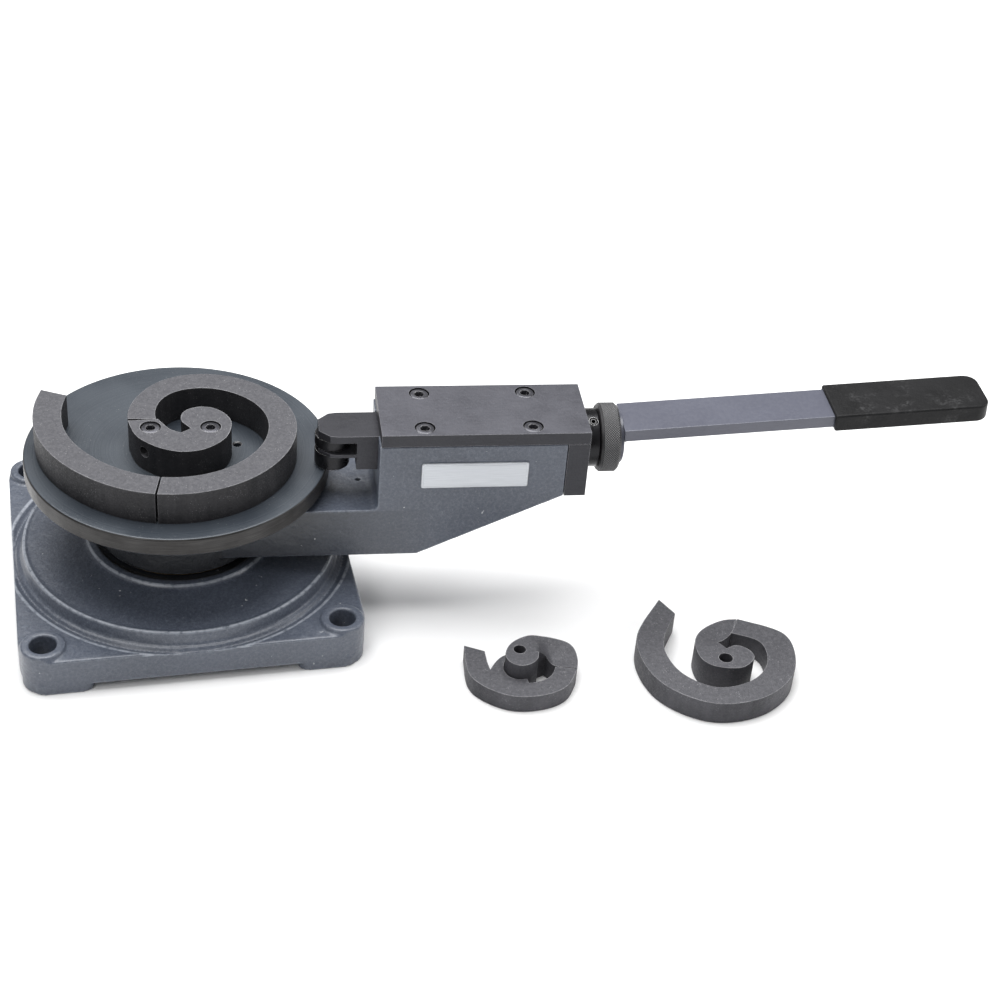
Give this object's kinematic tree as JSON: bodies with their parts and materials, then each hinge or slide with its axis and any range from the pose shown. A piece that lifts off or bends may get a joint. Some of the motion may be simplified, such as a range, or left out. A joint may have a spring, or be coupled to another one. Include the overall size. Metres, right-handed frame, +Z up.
{
  "type": "manual scroll bender",
  "caption": "Bench scroll bender: square cast base, fixed disc with a spiral form, swinging arm with a screw-fed roller ram and a flat lever, plus loose spare forms.",
  "frame": {"origin": "on the spindle axis, in the plane of the base's feet", "axes": "+X and +Y along the base's sides, +X towards the lever, +Z up along the spindle"},
  "size_m": [0.6969, 0.337, 0.1694],
  "materials": {
    "hammertone_paint": "blue-grey hammertone enamel on a rough casting, semi-gloss",
    "disc_enamel": "grey-green satin enamel, turned rim",
    "form_iron": "blackened cast iron, speckled, matt",
    "black_oxide": "ground steel with black oxide",
    "knurled_steel": "diamond knurl, black oxide",
    "bright_steel": "bare steel, oiled",
    "bronze": "bearing bronze, oiled",
    "lever_paint": "smooth violet-grey enamel",
    "grip_vinyl": "dipped black vinyl, matt, scuffed",
    "badge_plate": "blank silver plate with a raised rim"
  },
  "bodies": {
    "base": {"base_casting": "hammertone_paint", "spindle": "bright_steel", "spindle_cross_pin": "bright_steel", "lower_thrust_washer": "bronze", "form_disc": "disc_enamel", "disc_screw_1": "black_oxide", "disc_screw_2": "black_oxide", "disc_screw_3": "black_oxide", "form_center": "form_iron", "form_middle": "form_iron", "form_outer": "form_iron", "form_screw_1": "black_oxide", "form_screw_2": "black_oxide", "form_dowel_1": "bright_steel", "form_dowel_2": "bright_steel", "form_dowel_3": "bright_steel", "form_dowel_4": "bright_steel"},
    "clamp_screw": {"bar_clamp_screw": "bright_steel"},
    "arm": {"arm_casting": "hammertone_paint", "arm_bush": "bronze", "upper_thrust_washer": "bronze", "slide_cover": "black_oxide", "cover_screw_1": "black_oxide", "cover_screw_2": "black_oxide", "cover_screw_3": "black_oxide", "cover_screw_4": "black_oxide", "end_plate": "black_oxide", "end_plate_screw_1": "black_oxide", "end_plate_screw_2": "black_oxide", "end_plate_screw_3": "black_oxide", "end_plate_screw_4": "black_oxide", "feed_bush": "black_oxide", "bush_grub_screw": "bright_steel", "badge_plate": "badge_plate"},
    "ram": {"ram": "black_oxide", "roller_pin": "bright_steel"},
    "upper_roller": {"upper_roller": "black_oxide"},
    "lower_roller": {"lower_roller": "black_oxide"},
    "feed": {"feed_screw": "bright_steel", "ring_key": "bright_steel", "knurled_ring": "knurled_steel", "handle_bar": "lever_paint", "handle_grip": "grip_vinyl"},
    "spare_small": {"spare_small_center": "form_iron", "spare_small_ring": "form_iron"},
    "spare_large": {"spare_large_center": "form_iron", "spare_large_ring": "form_iron"}
  },
  "joints": [
    {"name": "arm_swing", "type": "hinge", "parent": "base", "child": "arm", "pos_m": [0, 0, 0.07], "axis": [0, 0, 1], "range_deg": [-150, 155]},
    {"name": "feed_turn", "type": "hinge", "parent": "arm", "child": "feed", "pos_m": [0.29666, -0.04944, 0.133], "axis": [0.9956, -0.0941, 0], "range_deg": [-1440, 720]},
    {"name": "ram_slide", "type": "slide", "parent": "arm", "child": "ram", "axis": [-0.9956, 0.0941, 0], "range_m": [-0.016, 0.008]},
    {"name": "upper_roller_spin", "type": "hinge", "parent": "ram", "child": "upper_roller", "pos_m": [0.10522, -0.03134, 0.1365], "axis": [0, 0, 1], "continuous": true},
    {"name": "lower_roller_spin", "type": "hinge", "parent": "ram", "child": "lower_roller", "pos_m": [0.10522, -0.03134, 0.1225], "axis": [0, 0, 1], "continuous": true},
    {"name": "clamp_feed", "type": "slide", "parent": "base", "child": "clamp_screw", "axis": [0.8597, 0.5109, 0], "range_m": [-0.006, 0.005]},
    {"name": "spare_small_lift", "type": "slide", "parent": "base", "child": "spare_small", "axis": [0, 0, 1], "range_m": [0, 0.05]},
    {"name": "spare_large_lift", "type": "slide", "parent": "base", "child": "spare_large", "axis": [0, 0, 1], "range_m": [0, 0.05]}
  ],
  "couplings": [
    {"joint": "ram_slide", "follows": "feed_turn", "m_per_rad": 0.00063662}
  ]
}
